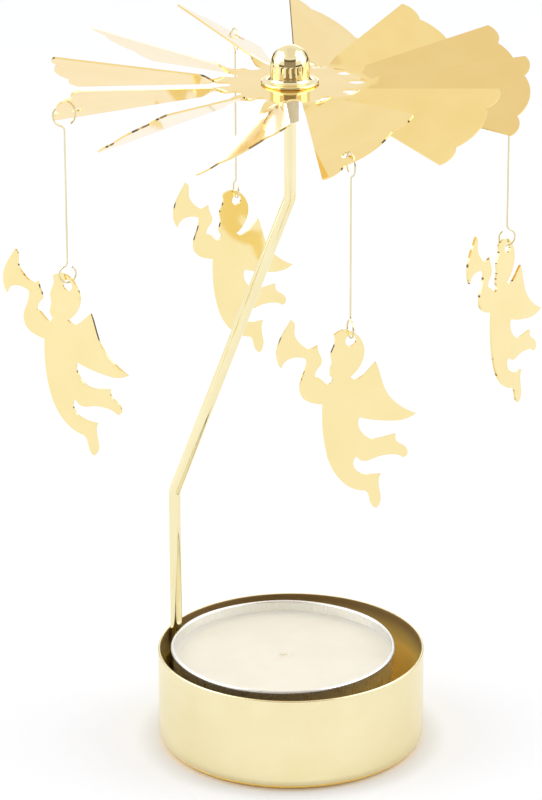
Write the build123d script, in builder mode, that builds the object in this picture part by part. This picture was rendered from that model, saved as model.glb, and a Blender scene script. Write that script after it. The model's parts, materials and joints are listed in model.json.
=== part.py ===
"""Angel chime carousel: a tealight in a gold cup, with a fan wheel that spins on a needle
over the flame and carries four hanging trumpet angels. Millimetres, +Z up, origin at the
centre of the underside of the cup, which is also the foot of the spin axis."""

import os
from math import atan2, cos, degrees, hypot, pi, radians, sin, sqrt, tan

from build123d import *

os.makedirs("parts", exist_ok=True)

# Fits between pieces
PRESS_CLEARANCE = 0.01
SEAT_CLEARANCE = 0.02
SWING_CLEARANCE = 0.08

# Base cup, pressed from sheet with a smooth plain rim, wide enough for the tealight and the
# post side by side
CUP_HEIGHT = 16.35
CUP_WALL = 0.4
CUP_EDGE_RADIUS = 2.0

# Post, a bent rod that stands against the inside of the cup's wall
POST_DIAMETER = 2.0
POST_AZIMUTH = 158.5
POST_WALL_GAP = 0.05
POST_FOOT_RUN = 25.05
POST_TOP_RUN = 15.2
POST_BEND_RADIUS = 4.0

# Saddle that holds the foot of the post to the cup wall
SOCKET_HEIGHT = 10.0
SOCKET_SHEET = 0.4
SOCKET_FLANGE = 1.6

# Collar on the top of the post, and the needle that the fan spins on
COLLAR_WALL = 0.4
COLLAR_LENGTH = 4.3
COLLAR_ROOF = 2.0
COLLAR_CHAMFER = 0.25
COLLAR_HUB_GAP = 0.8
NEEDLE_DIAMETER = 1.0
NEEDLE_DEPTH_IN_POST = 3.0
NEEDLE_TIP_LENGTH = 1.2
NEEDLE_TIP_DIAMETER = 0.16

# Fan wheel, stamped from one sheet, each blade twisted at its neck
FAN_HEIGHT = 114.4
FAN_SHEET = 0.3
FAN_DISC_RADIUS = 10.8
FAN_TIP_RADIUS = 38.6
FAN_NOTCH_DEPTH = 1.5
FAN_CORNER_DEPTH = 1.9
FAN_NOTCH_HALF_WIDTH = 4.4
FAN_CORNER_LOBE_RISE = 0.85
FAN_SLIT = 2.5
FAN_SLIT_ROOT_RADIUS = 9.3
FAN_NECK_LENGTH = 3.4
FAN_NECK_STEPS = 3
FAN_TWIST = 31.0
FAN_PHASE = 18.5
BLADE_COUNT = 12

# Hub, a domed cap whose neck goes down through the fan into a washer
DOME_DIAMETER = 6.4
DOME_STRAIGHT = 2.55
BRIM_DIAMETER = 9.3
BRIM_THICKNESS = 0.5
BRIM_FILLET = 0.8
NECK_WALL = 0.4
NECK_LIP = 0.3
NECK_LIP_LENGTH = 0.45
HUB_BORE_DIAMETER = 3.6
WASHER_DIAMETER = 7.4
WASHER_THICKNESS = 0.4
DOME_ROOF = 1.6
PIVOT_CUP_LENGTH = 1.3
PIVOT_CONE_DEPTH = 0.5
PIVOT_CONE_DIAMETER = 1.6
PIVOT_CLEARANCE = 0.1

# Hangers, bent from thin wire with a hook in the fan and an eye in the angel
WIRE_DIAMETER = 0.3
HOOK_SAG = 1.03
EYE_SAG = 0.93
WIRE_BEND_RADIUS = 0.9
HOOK_END_ANGLE = 235.0
BLADE_HOLE_DIAMETER = 1.8
BLADE_HOLE_INSET = 4.05
BLADE_HOLE_OFFSET = 3.2
HANGER_DROP = 28.3

# Angels, flat stampings that hang by a hole in the head
ANGEL_SHEET = 0.4
ANGEL_HEIGHT = 33.0
ANGEL_HOLE_DIAMETER = 1.8
ANGEL_EYE_SLACK = 0.3
ANGEL_TURNS = {"right": -53.5, "back": 191.5, "left": 42.5, "front": 3.0}

# Tealight, a standard one, standing loose in the cup and a little off its axis
TEALIGHT_RIM_DIAMETER = 37.8
TEALIGHT_POST_GAP = 1.0
TEALIGHT_OFFSET = 1.98
TEALIGHT_OFFSET_AZIMUTH = 229.0
TEALIGHT_TAPER = 0.8
TEALIGHT_HEIGHT = 16.85
TEALIGHT_WALL = 0.2
TEALIGHT_BEAD_DIAMETER = 0.6
TEALIGHT_EDGE_RADIUS = 1.2
WAX_BELOW_RIM = 2.1
WAX_MENISCUS = 0.4
WICK_DIAMETER = 1.2
WICK_ABOVE_WAX = 0.7
SUSTAINER_DIAMETER = 13.0
SUSTAINER_SHEET = 0.3
SUSTAINER_NECK_WALL = 0.6
SUSTAINER_NECK_HEIGHT = 4.0

# Outline of the trumpet angel as smooth stretches between its corners, drawn from the hole
# in the head, x to the right and y up, and scaled to the angel's height
ANGEL_OUTLINE = [
    # mouth of the trumpet, then the underside of the tube to the wrist
    [(-9.6, 4.5), (-10.85, 2.65), (-11.75, 0.85), (-12.0, -1.1), (-11.3, -3.0)],
    [(-11.3, -3.0), (-10.5, -1.85), (-9.1, -1.5), (-7.2, -2.05)],
    # forearm, elbow and upper arm
    [(-7.2, -2.05), (-7.55, -4.1), (-8.3, -6.35), (-7.8, -8.2), (-6.55, -9.1), (-4.5, -9.65)],
    # front of the robe down to the lower foot
    [(-4.5, -9.65), (-4.55, -12.55), (-4.15, -16.3), (-2.45, -21.3), (-0.65, -23.4), (2.4, -24.75)],
    [(2.4, -24.75), (3.2, -25.95), (3.6, -27.3), (4.3, -27.9), (4.85, -27.35), (4.9, -25.0), (5.1, -22.35)],
    # fork between the legs, then the upper foot
    [(5.1, -22.35), (3.15, -22.2), (1.05, -21.2), (0.5, -20.05), (1.0, -18.95)],
    [(1.0, -18.95), (2.6, -19.9), (4.45, -19.5), (6.4, -19.4), (7.7, -19.6), (8.75, -20.2)],
    [(8.75, -20.2), (9.5, -19.7), (9.2, -18.55), (7.85, -17.55), (7.55, -16.2)],
    # back of the robe up to the wing
    [(7.55, -16.2), (5.25, -16.45), (3.55, -16.4), (2.05, -15.3), (1.3, -13.8), (1.5, -12.6)],
    [(1.5, -12.6), (3.4, -13.25), (5.75, -13.75), (8.6, -14.0), (10.9, -13.25)],
    [(10.9, -13.25), (8.0, -11.45), (5.9, -8.95), (4.7, -5.45), (4.2, -4.05)],
    [(4.2, -4.05), (2.85, -5.25), (1.05, -6.35), (-0.05, -5.85)],
    # back of the head, then the face
    [(-0.05, -5.85), (1.8, -3.8), (2.25, -1.95), (1.55, 0.2), (-0.25, 1.7), (-2.7, 1.2)],
    [(-2.7, 1.2), (-2.8, -0.75), (-3.25, -1.95), (-3.05, -3.25), (-3.3, -4.2), (-2.85, -5.85)],
    # shoulder, inside of the arm, hand and top of the trumpet
    [(-2.85, -5.85), (-3.65, -6.55), (-4.75, -5.65), (-5.8, -5.05)],
    [(-5.8, -5.05), (-5.35, -3.75), (-4.75, -2.95), (-5.1, -1.4), (-5.4, -0.1)],
    [(-5.4, -0.1), (-6.85, -0.4), (-8.15, 0.55), (-9.15, 2.4), (-9.15, 3.95), (-9.6, 4.5)],
]

# Places worked out from the sizes above
post_radius = POST_DIAMETER / 2
tealight_rim_radius = TEALIGHT_RIM_DIAMETER / 2
cup_inner_radius = tealight_rim_radius + TEALIGHT_POST_GAP + POST_DIAMETER + POST_WALL_GAP
cup_radius = cup_inner_radius + CUP_WALL
tealight_x = TEALIGHT_OFFSET * cos(radians(TEALIGHT_OFFSET_AZIMUTH))
tealight_y = TEALIGHT_OFFSET * sin(radians(TEALIGHT_OFFSET_AZIMUTH))
post_distance = cup_inner_radius - POST_WALL_GAP - post_radius
post_x = post_distance * cos(radians(POST_AZIMUTH))
post_y = post_distance * sin(radians(POST_AZIMUTH))
fan_top = FAN_HEIGHT + FAN_SHEET / 2
fan_bottom = FAN_HEIGHT - FAN_SHEET / 2
half_pitch = pi / BLADE_COUNT
fan_notch_radius = FAN_TIP_RADIUS - FAN_NOTCH_DEPTH
fan_corner_radius = FAN_TIP_RADIUS - FAN_CORNER_DEPTH
blade_hole_radius = FAN_TIP_RADIUS - BLADE_HOLE_INSET
wire_radius = WIRE_DIAMETER / 2
charm_angles = {}
for charm, side in enumerate(ANGEL_TURNS):
    charm_blade = round(charm * BLADE_COUNT / len(ANGEL_TURNS))
    charm_angles[side] = FAN_PHASE + charm_blade * 360 / BLADE_COUNT

# Heights of the hub over the fan, and of the needle, collar and post under it
hub_bore_radius = HUB_BORE_DIAMETER / 2
neck_radius = hub_bore_radius + NECK_WALL
washer_bottom = fan_bottom - WASHER_THICKNESS
neck_bottom = washer_bottom - NECK_LIP_LENGTH
dome_radius = DOME_DIAMETER / 2
brim_top = fan_top + BRIM_THICKNESS
dome_spring = brim_top + DOME_STRAIGHT
dome_top = dome_spring + dome_radius
pivot_cup_top = dome_top - DOME_ROOF
pivot_cup_bottom = pivot_cup_top - PIVOT_CUP_LENGTH
needle_tip = pivot_cup_bottom + PIVOT_CONE_DEPTH - PIVOT_CLEARANCE
collar_top = neck_bottom - COLLAR_HUB_GAP
collar_bottom = collar_top - COLLAR_LENGTH
post_top = collar_top - COLLAR_ROOF


def blade_half_width(radius):
    """Half the width of a flat blade at a radius, between two slits."""
    return radius * tan(half_pitch) - FAN_SLIT / 2 / cos(half_pitch)


def blade_plane(angle):
    """The tilted plane of a twisted blade, its x axis along the blade at that angle."""
    turn = radians(angle)
    tilt = radians(FAN_TWIST)
    return Plane(
        origin=(0, 0, FAN_HEIGHT),
        x_dir=(cos(turn), sin(turn), 0),
        z_dir=(sin(tilt) * sin(turn), -sin(tilt) * cos(turn), cos(tilt)),
    )


# Base cup: floor, wall and rounded rim in one section
with BuildPart() as base_cup:
    with BuildSketch(Plane.XZ):
        wall_height = CUP_HEIGHT - CUP_WALL / 2
        with BuildLine():
            FilletPolyline((0, 0), (cup_radius, 0), (cup_radius, wall_height), radius=CUP_EDGE_RADIUS)
            ThreePointArc(
                (cup_radius, wall_height),
                ((cup_radius + cup_inner_radius) / 2, CUP_HEIGHT),
                (cup_inner_radius, wall_height),
            )
            FilletPolyline(
                (cup_inner_radius, wall_height),
                (cup_inner_radius, CUP_WALL),
                (0, CUP_WALL),
                radius=CUP_EDGE_RADIUS - CUP_WALL,
            )
            Line((0, CUP_WALL), (0, 0))
        make_face()
    revolve(axis=Axis.Z)
base_cup.part.label = "base_cup"
export_step(base_cup.part, "parts/base_cup.step")

# Post: upright, leaning run and upright again, with round bends, drilled for the needle
post_foot_height = CUP_EDGE_RADIUS
with BuildPart() as post:
    with BuildLine() as post_path:
        FilletPolyline(
            (post_x, post_y, post_foot_height),
            (post_x, post_y, CUP_HEIGHT + POST_FOOT_RUN),
            (0, 0, post_top - POST_TOP_RUN),
            (0, 0, post_top),
            radius=POST_BEND_RADIUS,
        )
    with BuildSketch(Plane.XY.offset(post_foot_height)):
        with Locations((post_x, post_y)):
            Circle(post_radius)
    sweep(path=post_path.line)
    with Locations((0, 0, post_top)):
        Hole(NEEDLE_DIAMETER / 2 + PRESS_CLEARANCE, NEEDLE_DEPTH_IN_POST)
post.part.label = "post"
export_step(post.part, "parts/post.step")

# Saddle: a strap bent round the foot of the post, with a flange each side that is spot-welded
# to the cup wall
socket_bore_radius = post_radius + PRESS_CLEARANCE
socket_radius = socket_bore_radius + SOCKET_SHEET
flange_reach = cup_inner_radius - SOCKET_SHEET - post_distance
with BuildPart() as post_socket:
    with BuildSketch(Plane.XY.offset(post_foot_height)):
        with Locations(Location((post_x, post_y), POST_AZIMUTH)):
            Circle(socket_radius)
            with Locations((flange_reach, 0)):
                Rectangle(
                    2 * SOCKET_SHEET,
                    2 * (socket_radius + SOCKET_FLANGE),
                    align=(Align.MIN, Align.CENTER),
                )
        Circle(cup_inner_radius - PRESS_CLEARANCE, mode=Mode.INTERSECT)
        with Locations(Location((post_x, post_y), POST_AZIMUTH)):
            Circle(socket_bore_radius, mode=Mode.SUBTRACT)
            Rectangle(
                cup_radius - post_distance,
                2 * socket_bore_radius,
                align=(Align.MIN, Align.CENTER),
                mode=Mode.SUBTRACT,
            )
    extrude(amount=SOCKET_HEIGHT)
post_socket.part.label = "post_socket"
export_step(post_socket.part, "parts/post_socket.step")

# Collar: a sleeve on the end of the post, closed round the needle at the top
with BuildPart() as post_collar:
    with BuildSketch(Plane.XY.offset(collar_bottom)):
        Circle(post_radius + PRESS_CLEARANCE + COLLAR_WALL)
    extrude(amount=COLLAR_LENGTH)
    chamfer(post_collar.edges().group_by(Axis.Z)[-1], COLLAR_CHAMFER)
    with BuildSketch(Plane.XY.offset(collar_bottom)):
        Circle(post_radius + PRESS_CLEARANCE)
    extrude(amount=COLLAR_LENGTH - COLLAR_ROOF, mode=Mode.SUBTRACT)
    with Locations((0, 0, collar_top)):
        Hole(NEEDLE_DIAMETER / 2 + PRESS_CLEARANCE)
post_collar.part.label = "post_collar"
export_step(post_collar.part, "parts/post_collar.step")

# Needle: a pin pressed into the post, ground to a point
needle_foot = post_top - NEEDLE_DEPTH_IN_POST
with BuildPart() as pivot_needle:
    with BuildSketch(Plane.XZ):
        with BuildLine():
            Polyline(
                (0, needle_foot),
                (NEEDLE_DIAMETER / 2, needle_foot),
                (NEEDLE_DIAMETER / 2, needle_tip - NEEDLE_TIP_LENGTH),
                (NEEDLE_TIP_DIAMETER / 2, needle_tip),
                (0, needle_tip),
                close=True,
            )
        make_face()
    revolve(axis=Axis.Z)
pivot_needle.part.label = "pivot_needle"
export_step(pivot_needle.part, "parts/pivot_needle.step")

# One blade along +X: a strip of sheet lofted from the flat disc through the twisted neck,
# then cut to its scalloped outer edge in its own tilted plane
neck_start = FAN_DISC_RADIUS
blade_root = neck_start - FAN_SLIT
blade_sections = [(blade_root, blade_half_width(blade_root), 0.0)]
for step in range(FAN_NECK_STEPS + 1):
    share = step / FAN_NECK_STEPS
    place = neck_start + share * FAN_NECK_LENGTH
    blade_sections.append((place, blade_half_width(place), share * FAN_TWIST))
blade_end = FAN_TIP_RADIUS + FAN_SHEET
blade_sections.append((blade_end, blade_half_width(blade_end), FAN_TWIST))

corner = Vector(fan_corner_radius, blade_half_width(fan_corner_radius))
notch = Vector(fan_notch_radius, FAN_NOTCH_HALF_WIDTH)
lobe_chord = corner - notch
lobe_outward = Vector(lobe_chord.Y, -lobe_chord.X) / lobe_chord.length
lobe_top = (corner + notch) / 2 + lobe_outward * FAN_CORNER_LOBE_RISE
with BuildPart() as blade:
    for place, half_width, twist in blade_sections:
        section_plane = Plane(
            origin=(place, 0, FAN_HEIGHT),
            x_dir=(0, cos(radians(twist)), sin(radians(twist))),
            z_dir=(1, 0, 0),
        )
        with BuildSketch(section_plane):
            Rectangle(2 * half_width, FAN_SHEET)
    loft(ruled=True)
    with BuildSketch(blade_plane(0)):
        with BuildLine():
            ThreePointArc(corner, lobe_top, notch)
            ThreePointArc(notch, (FAN_TIP_RADIUS, 0), (notch.X, -notch.Y))
            ThreePointArc((notch.X, -notch.Y), (lobe_top.X, -lobe_top.Y), (corner.X, -corner.Y))
            Polyline(
                (corner.X, -corner.Y),
                (corner.X, -FAN_TIP_RADIUS),
                (2 * FAN_TIP_RADIUS, -FAN_TIP_RADIUS),
                (2 * FAN_TIP_RADIUS, FAN_TIP_RADIUS),
                (corner.X, FAN_TIP_RADIUS),
                (corner.X, corner.Y),
            )
        make_face()
    extrude(amount=FAN_SHEET, both=True, mode=Mode.SUBTRACT)

# Fan wheel: the disc with its blades, round slit ends, centre hole and four hanging holes
slit_end_radius = FAN_SLIT_ROOT_RADIUS + FAN_SLIT / 2
slit_phase = FAN_PHASE + degrees(half_pitch)
with BuildPart() as fan_wheel:
    with BuildSketch(Plane.XY.offset(fan_bottom)):
        Circle(FAN_DISC_RADIUS)
        Circle(neck_radius + SEAT_CLEARANCE, mode=Mode.SUBTRACT)
        with PolarLocations(slit_end_radius, BLADE_COUNT, start_angle=slit_phase):
            Circle(FAN_SLIT / 2, mode=Mode.SUBTRACT)
            Rectangle(FAN_SLIT, FAN_SLIT, align=(Align.MIN, Align.CENTER), mode=Mode.SUBTRACT)
    extrude(amount=FAN_SHEET)
    with PolarLocations(0, BLADE_COUNT, start_angle=FAN_PHASE):
        add(blade.part)
    for angle in charm_angles.values():
        with BuildSketch(blade_plane(angle)):
            with Locations((blade_hole_radius, -BLADE_HOLE_OFFSET)):
                Circle(BLADE_HOLE_DIAMETER / 2)
        extrude(amount=FAN_SHEET, both=True, mode=Mode.SUBTRACT)
fan_wheel.part.label = "fan_wheel"
export_step(fan_wheel.part, "parts/fan_wheel.step")

# Hub cap: dome, brim and neck turned in one, hollow for the needle, the neck swaged out
# below the washer
brim_flat_radius = BRIM_DIAMETER / 2 - BRIM_THICKNESS / 2
with BuildPart() as hub_cap:
    with BuildSketch(Plane.XZ):
        with BuildLine():
            Polyline(
                (0, pivot_cup_top),
                (hub_bore_radius, pivot_cup_top),
                (hub_bore_radius, neck_bottom),
                (neck_radius + NECK_LIP, neck_bottom),
                (neck_radius + NECK_LIP, washer_bottom),
                (neck_radius, washer_bottom),
                (neck_radius, fan_top),
                (brim_flat_radius, fan_top),
            )
            ThreePointArc(
                (brim_flat_radius, fan_top),
                (BRIM_DIAMETER / 2, fan_top + BRIM_THICKNESS / 2),
                (brim_flat_radius, brim_top),
            )
            FilletPolyline(
                (brim_flat_radius, brim_top),
                (dome_radius, brim_top),
                (dome_radius, dome_spring),
                radius=BRIM_FILLET,
            )
            CenterArc((0, dome_spring), dome_radius, 0, 90)
            Line((0, dome_top), (0, pivot_cup_top))
        make_face()
    revolve(axis=Axis.Z)
hub_cap.part.label = "hub_cap"
export_step(hub_cap.part, "parts/hub_cap.step")

# Washer under the fan, round the neck of the hub
with BuildPart() as hub_washer:
    with BuildSketch(Plane.XY.offset(washer_bottom)):
        Circle(WASHER_DIAMETER / 2)
        Circle(neck_radius + SEAT_CLEARANCE, mode=Mode.SUBTRACT)
    extrude(amount=WASHER_THICKNESS)
hub_washer.part.label = "hub_washer"
export_step(hub_washer.part, "parts/hub_washer.step")

# Pivot cup: the plug in the roof of the hub, hollowed to a cone for the needle
with BuildPart() as pivot_cup:
    with BuildSketch(Plane.XZ):
        with BuildLine():
            Polyline(
                (0, pivot_cup_bottom + PIVOT_CONE_DEPTH),
                (PIVOT_CONE_DIAMETER / 2, pivot_cup_bottom),
                (hub_bore_radius - PRESS_CLEARANCE, pivot_cup_bottom),
                (hub_bore_radius - PRESS_CLEARANCE, pivot_cup_top),
                (0, pivot_cup_top),
                close=True,
            )
        make_face()
    revolve(axis=Axis.Z)
pivot_cup.part.label = "pivot_cup"
export_step(pivot_cup.part, "parts/pivot_cup.step")

# The hook's circle goes through the hole in the blade and round the middle lobe of its end, so
# the strip of sheet between them is a chord of that circle. It is measured where it is widest
# under the wire, which lies across the tilted blade. The eye holds the top of the head alike.
blade_tilt = radians(FAN_TWIST)
wire_half_track = wire_radius / cos(blade_tilt)
lobe_radius = (FAN_NOTCH_HALF_WIDTH**2 + FAN_NOTCH_DEPTH**2) / (2 * FAN_NOTCH_DEPTH)
lobe_offset = BLADE_HOLE_OFFSET - wire_half_track
strip_end = FAN_TIP_RADIUS - lobe_radius + sqrt(lobe_radius**2 - lobe_offset**2)
strip_start = blade_hole_radius + sqrt((BLADE_HOLE_DIAMETER / 2) ** 2 - wire_half_track**2)
strip_half_width = (strip_end - strip_start) / 2
strip_rise = wire_radius * tan(blade_tilt) + FAN_SHEET / 2 / cos(blade_tilt)
hook_radius = hypot(strip_half_width, HOOK_SAG) + SWING_CLEARANCE + wire_radius
hook_distance = strip_end - strip_half_width
hook_aside = -BLADE_HOLE_OFFSET * cos(blade_tilt)
hook_height = FAN_HEIGHT - BLADE_HOLE_OFFSET * sin(blade_tilt) + strip_rise - HOOK_SAG
angel_hole_height = hook_height - HANGER_DROP
eye_radius = hypot(ANGEL_SHEET / 2, EYE_SAG) + ANGEL_EYE_SLACK + wire_radius
eye_height = angel_hole_height + ANGEL_HOLE_DIAMETER / 2 + EYE_SAG
wire_middle = (hook_height + eye_height) / 2


def ring_with_tail(plane, ring_radius, tail_end):
    """Path of an open ring round the plane's origin, with an S-bend into a tail down -y."""
    bend_y = -sqrt(ring_radius**2 + 2 * ring_radius * WIRE_BEND_RADIUS)
    leave_angle = degrees(atan2(bend_y, WIRE_BEND_RADIUS))
    with BuildLine(plane) as path:
        Line((0, -tail_end), (0, bend_y))
        CenterArc((WIRE_BEND_RADIUS, bend_y), WIRE_BEND_RADIUS, 180, leave_angle)
        CenterArc((0, 0), ring_radius, leave_angle, HOOK_END_ANGLE - leave_angle)
    return path.line


# Hangers and angels, one of each at every fourth part of the fan
outline_heights = [y for stretch in ANGEL_OUTLINE for x, y in stretch]
angel_scale = ANGEL_HEIGHT / (max(outline_heights) - min(outline_heights))
for side, angle in charm_angles.items():
    outward = Vector(cos(radians(angle)), sin(radians(angle)), 0)
    along_rim = Vector(-outward.Y, outward.X, 0)
    wire_place = outward * hook_distance + along_rim * hook_aside
    hook_centre = wire_place + Vector(0, 0, hook_height)
    eye_centre = wire_place + Vector(0, 0, eye_height)
    hook_plane = Plane(origin=hook_centre, x_dir=outward, z_dir=along_rim * -1)
    eye_plane = Plane(origin=eye_centre, x_dir=outward, z_dir=along_rim)
    with BuildPart() as hanger:
        for plane, ring_radius, tail_end in (
            (hook_plane, hook_radius, hook_height - wire_middle),
            (eye_plane, eye_radius, wire_middle - eye_height),
        ):
            wire_path = ring_with_tail(plane, ring_radius, tail_end)
            with BuildSketch(Plane(origin=wire_path @ 0, z_dir=wire_path % 0)):
                Circle(wire_radius)
            sweep(path=wire_path)
    hanger.part.label = f"hanger_{side}"
    export_step(hanger.part, f"parts/hanger_{side}.step")

    facing = radians(angle + ANGEL_TURNS[side])
    face_normal = Vector(cos(facing), sin(facing), 0)
    angel_plane = Plane(
        origin=wire_place + Vector(0, 0, angel_hole_height),
        x_dir=(-face_normal.Y, face_normal.X, 0),
        z_dir=face_normal,
    )
    with BuildPart() as angel:
        with BuildSketch(angel_plane):
            with BuildLine():
                for stretch in ANGEL_OUTLINE:
                    Spline([(x * angel_scale, y * angel_scale) for x, y in stretch])
            make_face()
            Circle(ANGEL_HOLE_DIAMETER / 2, mode=Mode.SUBTRACT)
        extrude(amount=ANGEL_SHEET / 2, both=True)
    angel.part.label = f"angel_{side}"
    export_step(angel.part, f"parts/angel_{side}.step")

# Tealight: its sections are drawn from the centre of its own underside, on the floor of the cup
tealight_section = Plane(origin=(tealight_x, tealight_y, CUP_WALL), x_dir=(1, 0, 0), z_dir=(0, -1, 0))
tealight_axis = Axis((tealight_x, tealight_y, CUP_WALL), (0, 0, 1))
tealight_base_radius = tealight_rim_radius - TEALIGHT_TAPER
tealight_top_inside = tealight_rim_radius - TEALIGHT_BEAD_DIAMETER
tealight_bead_height = TEALIGHT_HEIGHT - TEALIGHT_BEAD_DIAMETER / 2
inside_slope = (tealight_top_inside + TEALIGHT_WALL - tealight_base_radius) / tealight_bead_height


def tealight_inside(height):
    """Inner radius of the tapered aluminium wall at a height over its underside."""
    return tealight_base_radius - TEALIGHT_WALL + inside_slope * height


with BuildPart() as tealight_cup:
    with BuildSketch(tealight_section):
        with BuildLine():
            FilletPolyline(
                (0, 0),
                (tealight_base_radius, 0),
                (tealight_top_inside + TEALIGHT_WALL, tealight_bead_height),
                radius=TEALIGHT_EDGE_RADIUS,
            )
            Line(
                (tealight_top_inside + TEALIGHT_WALL, tealight_bead_height),
                (tealight_top_inside, tealight_bead_height),
            )
            FilletPolyline(
                (tealight_top_inside, tealight_bead_height),
                (tealight_inside(TEALIGHT_WALL), TEALIGHT_WALL),
                (0, TEALIGHT_WALL),
                radius=TEALIGHT_EDGE_RADIUS - TEALIGHT_WALL,
            )
            Line((0, TEALIGHT_WALL), (0, 0))
        make_face()
        with Locations((tealight_top_inside + TEALIGHT_BEAD_DIAMETER / 2, tealight_bead_height)):
            Circle(TEALIGHT_BEAD_DIAMETER / 2)
    revolve(axis=tealight_axis)
tealight_cup.part.label = "tealight_cup"
export_step(tealight_cup.part, "parts/tealight_cup.step")

# Wick sustainer: a tin disc with a neck crimped round the wick
wick_radius = WICK_DIAMETER / 2
sustainer_top = TEALIGHT_WALL + SUSTAINER_SHEET
sustainer_neck_radius = wick_radius + SUSTAINER_NECK_WALL
sustainer_neck_top = TEALIGHT_WALL + SUSTAINER_NECK_HEIGHT
with BuildPart() as wick_sustainer:
    with BuildSketch(tealight_section):
        with BuildLine():
            Polyline(
                (0, TEALIGHT_WALL),
                (SUSTAINER_DIAMETER / 2, TEALIGHT_WALL),
                (SUSTAINER_DIAMETER / 2, sustainer_top),
                (sustainer_neck_radius, sustainer_top),
                (sustainer_neck_radius, sustainer_neck_top),
                (wick_radius + PRESS_CLEARANCE, sustainer_neck_top),
                (wick_radius + PRESS_CLEARANCE, sustainer_top),
                (0, sustainer_top),
                close=True,
            )
        make_face()
    revolve(axis=tealight_axis)
wick_sustainer.part.label = "wick_sustainer"
export_step(wick_sustainer.part, "parts/wick_sustainer.step")

# Wick: stands in the sustainer and just shows over the wax
wax_height = TEALIGHT_HEIGHT - WAX_BELOW_RIM
with BuildPart() as wick:
    with BuildSketch(tealight_section):
        with BuildLine():
            Polyline(
                (0, sustainer_top),
                (wick_radius, sustainer_top),
                (wick_radius, wax_height + WICK_ABOVE_WAX),
                (0, wax_height + WICK_ABOVE_WAX),
                close=True,
            )
        make_face()
    revolve(axis=tealight_axis)
wick.part.label = "wick"
export_step(wick.part, "parts/wick.step")

# Wax: fills the cup round the sustainer and the wick, and climbs a little at the wall
wax_floor = TEALIGHT_WALL + PRESS_CLEARANCE
wax_edge_height = wax_height + WAX_MENISCUS
wax_edge_radius = tealight_inside(wax_edge_height) - SEAT_CLEARANCE
wax_foot_radius = tealight_inside(wax_floor) - SEAT_CLEARANCE
with BuildPart() as wax:
    with BuildSketch(tealight_section):
        with BuildLine():
            FilletPolyline(
                (SUSTAINER_DIAMETER / 2 + SEAT_CLEARANCE, wax_floor),
                (wax_foot_radius, wax_floor),
                (wax_edge_radius, wax_edge_height),
                radius=TEALIGHT_EDGE_RADIUS,
            )
            RadiusArc(
                (wax_edge_radius, wax_edge_height),
                (wax_edge_radius - 2 * WAX_MENISCUS, wax_height),
                2 * WAX_MENISCUS,
            )
            Polyline(
                (wax_edge_radius - 2 * WAX_MENISCUS, wax_height),
                (wick_radius + PRESS_CLEARANCE, wax_height),
                (wick_radius + PRESS_CLEARANCE, sustainer_neck_top + SEAT_CLEARANCE),
                (sustainer_neck_radius + SEAT_CLEARANCE, sustainer_neck_top + SEAT_CLEARANCE),
                (sustainer_neck_radius + SEAT_CLEARANCE, sustainer_top + SEAT_CLEARANCE),
                (SUSTAINER_DIAMETER / 2 + SEAT_CLEARANCE, sustainer_top + SEAT_CLEARANCE),
                (SUSTAINER_DIAMETER / 2 + SEAT_CLEARANCE, wax_floor),
            )
        make_face()
    revolve(axis=tealight_axis)
wax.part.label = "wax"
export_step(wax.part, "parts/wax.step")
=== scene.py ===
"""Angel chime carousel: fine shapes and finishes for every piece, in metres, in the part's frame."""

import json

import bmesh
import bpy
import numpy as np
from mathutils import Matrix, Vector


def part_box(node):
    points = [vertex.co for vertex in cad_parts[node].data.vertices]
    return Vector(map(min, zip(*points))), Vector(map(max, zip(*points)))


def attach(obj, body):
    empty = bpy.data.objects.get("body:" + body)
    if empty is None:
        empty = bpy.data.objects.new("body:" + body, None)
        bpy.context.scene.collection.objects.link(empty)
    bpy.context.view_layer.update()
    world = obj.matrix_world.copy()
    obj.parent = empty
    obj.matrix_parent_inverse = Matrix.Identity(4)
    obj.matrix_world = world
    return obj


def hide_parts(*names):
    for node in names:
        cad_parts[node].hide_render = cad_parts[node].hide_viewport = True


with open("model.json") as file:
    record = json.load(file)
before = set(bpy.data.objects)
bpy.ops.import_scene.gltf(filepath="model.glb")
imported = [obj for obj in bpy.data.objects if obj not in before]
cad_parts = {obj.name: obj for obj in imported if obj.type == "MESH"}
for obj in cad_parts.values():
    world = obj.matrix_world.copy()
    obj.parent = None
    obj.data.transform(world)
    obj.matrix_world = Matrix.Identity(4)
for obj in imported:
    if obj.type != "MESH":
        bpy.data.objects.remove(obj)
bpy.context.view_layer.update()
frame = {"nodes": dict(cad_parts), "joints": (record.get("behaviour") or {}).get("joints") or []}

# Base cup: a round cup pressed from thin steel sheet, its plain rim rounded off so that it does not
# cut. It is plated pale gold and left satin, and everything else stands in it. Inside, its colour is
# painted light and shade: a painted brown shade just under the rim, and a painted glow of bright gold
# deeper down.
MM = 0.001
CUP_SHEET = 0.4 * MM
CUP_FOOT_RADIUS = 2.0 * MM
# Depths under the rim where the inside's painted brown shade ends and its painted gold glow is full.
CUP_PAINTED_SHADE_DEPTH = 1.0 * MM
CUP_PAINTED_GLOW_DEPTH = 5.0 * MM
CUP_INSIDE_ROUGHNESS = 0.75
PALE_GOLD = ("#F7EDC4", "#EFE0AC")
SATIN_GLOSS = (0.16, 0.30)
PRESSED_WAVE = 0.004 * MM


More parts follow.
